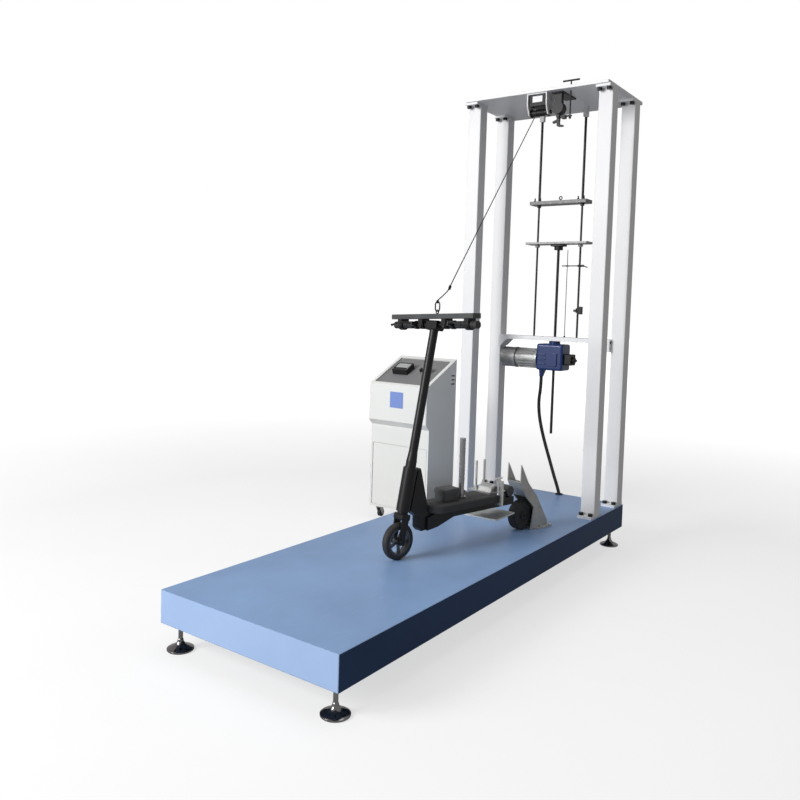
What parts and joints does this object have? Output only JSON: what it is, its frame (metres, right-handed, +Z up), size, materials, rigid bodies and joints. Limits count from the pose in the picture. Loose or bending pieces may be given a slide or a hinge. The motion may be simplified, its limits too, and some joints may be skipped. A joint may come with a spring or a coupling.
{
  "type": "pedal impact testing machine",
  "caption": "Scooter pedal impact test stand: platform on levelling feet, four-post frame with screw lift, rope drum and release, loading beam, clamped specimen and console.",
  "frame": {"origin": "middle of the whole footprint, at floor level", "axes": "+X across the platform towards the side without the console, +Y along the platform towards the posts, +Z up"},
  "size_m": [1.49, 2.654, 2.637],
  "materials": {
    "deck_blue": "satin",
    "white_paint": "satin",
    "console_paint": "satin",
    "grey_panel": "satin",
    "gearbox_blue": "gloss",
    "black_paint": "satin",
    "frame_steel": "brushed",
    "bright_steel": "polished",
    "cast_aluminium": "cast",
    "alloy": "satin",
    "dark_alloy": "anodised",
    "black_plastic": "matt",
    "rubber": "matt",
    "tyre": "matt",
    "rope": "woven",
    "hose": "ribbed"
  },
  "bodies": {
    "machine": {"platform_deck": "deck_blue", "platform_frame": "deck_blue", "levelling_feet": "bright_steel", "near_posts": "white_paint", "far_posts": "white_paint", "top_plate": "white_paint", "frame_fasteners": "black_paint", "guide_rods": "dark_alloy", "tie_plate": "white_paint", "support_plate": "white_paint", "worm_gearbox": "gearbox_blue", "motor_barrel": "cast_aluminium", "fan_cover": "cast_aluminium", "gearbox_end_cap": "black_paint", "trip_rod": "frame_steel", "limit_switch": "black_plastic", "drum_bracket": "white_paint", "drum_drive": "black_plastic", "release_magnet": "black_paint", "scooter_frame": "black_paint", "scooter_board": "dark_alloy", "rope_hook": "bright_steel", "weights": "dark_alloy", "load_post": "bright_steel", "clamp_bars": "frame_steel", "fixture_fasteners": "dark_alloy", "rear_stand": "alloy", "console_cabinet": "console_paint", "control_panel": "grey_panel", "meter_case": "black_plastic", "caster_mounts": "black_paint", "rope": "rope", "motor_hose": "hose", "hose_gland": "black_plastic"},
    "lift_carriage": {"lift_plate": "white_paint", "lift_screw": "black_paint"},
    "trip_arm": {"trip_arm": "black_paint"},
    "rope_drum": {"rope_drum": "black_paint"},
    "release_lever": {"release_lever": "black_paint"},
    "pull_rod": {"pull_rod": "black_paint"},
    "steering": {"scooter_stem": "black_paint", "handlebar": "black_paint", "grips": "rubber", "loading_beam": "frame_steel", "beam_clamps": "black_paint"},
    "front_wheel": {"front_tyre": "tyre", "front_rim": "alloy"},
    "rear_wheel": {"rear_wheel": "tyre"},
    "brake_lever_left": {"brake_lever_left": "black_paint"},
    "brake_lever_right": {"brake_lever_right": "black_paint"},
    "clamp_screw": {"clamp_screw": "bright_steel"},
    "console_door": {"console_door": "console_paint"},
    "mushroom_button": {"mushroom_button": "black_plastic"},
    "selector_knob": {"selector_knob": "black_plastic"},
    "caster_fork_front_left": {"caster_fork_front_left": "black_paint"},
    "caster_fork_front_right": {"caster_fork_front_right": "black_paint"},
    "caster_wheel_front_left": {"caster_wheel_front_left": "rubber"},
    "caster_wheel_front_right": {"caster_wheel_front_right": "rubber"},
    "caster_wheel_back_left": {"caster_wheel_back_left": "rubber"},
    "caster_wheel_back_right": {"caster_wheel_back_right": "rubber"}
  },
  "joints": [
    {"name": "lift", "type": "slide", "parent": "machine", "child": "lift_carriage", "axis": [0, 0, 1], "range_m": [-0.075, 0.195]},
    {"name": "trip_arm_set", "type": "slide", "parent": "machine", "child": "trip_arm", "axis": [0, 0, 1], "range_m": [-0.2, 0.01]},
    {"name": "drum_turn", "type": "hinge", "parent": "machine", "child": "rope_drum", "pos_m": [0.295, 0.853, 2.476], "axis": [1, 0, 0], "continuous": true},
    {"name": "pull", "type": "slide", "parent": "machine", "child": "pull_rod", "axis": [0, 0, 1], "range_m": [0, 0.015]},
    {"name": "release", "type": "hinge", "parent": "machine", "child": "release_lever", "pos_m": [0.425, 0.853, 2.441], "axis": [0, -1, 0], "range_deg": [0, 13.5]},
    {"name": "steer", "type": "hinge", "parent": "machine", "child": "steering", "pos_m": [0.326, -0.427, 0.3233], "axis": [0.0433, 0.1841, 0.982], "range_deg": [-30, 30]},
    {"name": "front_wheel_spin", "type": "hinge", "parent": "steering", "child": "front_wheel", "pos_m": [0.326, -0.427, 0.3233], "axis": [-0.9734, 0.2292, 0], "continuous": true},
    {"name": "rear_wheel_spin", "type": "hinge", "parent": "machine", "child": "rear_wheel", "pos_m": [0.51761, 0.38675, 0.3153], "axis": [-0.9734, 0.2292, 0], "continuous": true},
    {"name": "clamp_tighten", "type": "slide", "parent": "machine", "child": "clamp_screw", "axis": [0, 0, 1], "range_m": [0, 0.015]},
    {"name": "door", "type": "hinge", "parent": "machine", "child": "console_door", "pos_m": [-0.722, 0.772, 0.2845], "axis": [0, 0, -1], "range_deg": [0, 90]},
    {"name": "button_press", "type": "slide", "parent": "machine", "child": "mushroom_button", "axis": [0, 0.4397, -0.8981], "range_m": [0, 0.005], "stiffness_N_per_m": 400, "springref_m": -0.001},
    {"name": "knob_turn", "type": "hinge", "parent": "machine", "child": "selector_knob", "pos_m": [-0.469, 0.90448, 0.9614], "axis": [0, 0.4397, -0.8981], "range_deg": [-60, 60]},
    {"name": "brake_left", "type": "hinge", "parent": "steering", "child": "brake_lever_left", "pos_m": [0.24568, -0.25369, 1.28721], "axis": [-0.0042, -0.1931, -0.9812], "range_deg": [0, 12], "stiffness_Nm_per_rad": 1.5, "springref_deg": -5.73},
    {"name": "brake_right", "type": "hinge", "parent": "steering", "child": "brake_lever_right", "pos_m": [0.47562, -0.306, 1.29651], "axis": [0.0042, 0.1931, 0.9812], "range_deg": [0, 12], "stiffness_Nm_per_rad": 1.5, "springref_deg": -5.73},
    {"name": "swivel_front_left", "type": "hinge", "parent": "machine", "child": "caster_fork_front_left", "pos_m": [-0.7, 0.808, 0.079], "axis": [0, 0, 1], "continuous": true},
    {"name": "caster_roll_front_left", "type": "hinge", "parent": "caster_fork_front_left", "child": "caster_wheel_front_left", "pos_m": [-0.7, 0.826, 0.025], "axis": [1, 0, 0], "continuous": true},
    {"name": "swivel_front_right", "type": "hinge", "parent": "machine", "child": "caster_fork_front_right", "pos_m": [-0.35, 0.808, 0.079], "axis": [0, 0, 1], "continuous": true},
    {"name": "caster_roll_front_right", "type": "hinge", "parent": "caster_fork_front_right", "child": "caster_wheel_front_right", "pos_m": [-0.35, 0.826, 0.025], "axis": [1, 0, 0], "continuous": true},
    {"name": "caster_roll_back_left", "type": "hinge", "parent": "machine", "child": "caster_wheel_back_left", "pos_m": [-0.7, 1.036, 0.025], "axis": [1, 0, 0], "continuous": true},
    {"name": "caster_roll_back_right", "type": "hinge", "parent": "machine", "child": "caster_wheel_back_right", "pos_m": [-0.35, 1.036, 0.025], "axis": [1, 0, 0], "continuous": true}
  ],
  "couplings": [
    {"joint": "release", "follows": "pull", "rad_per_m": 15.5}
  ]
}
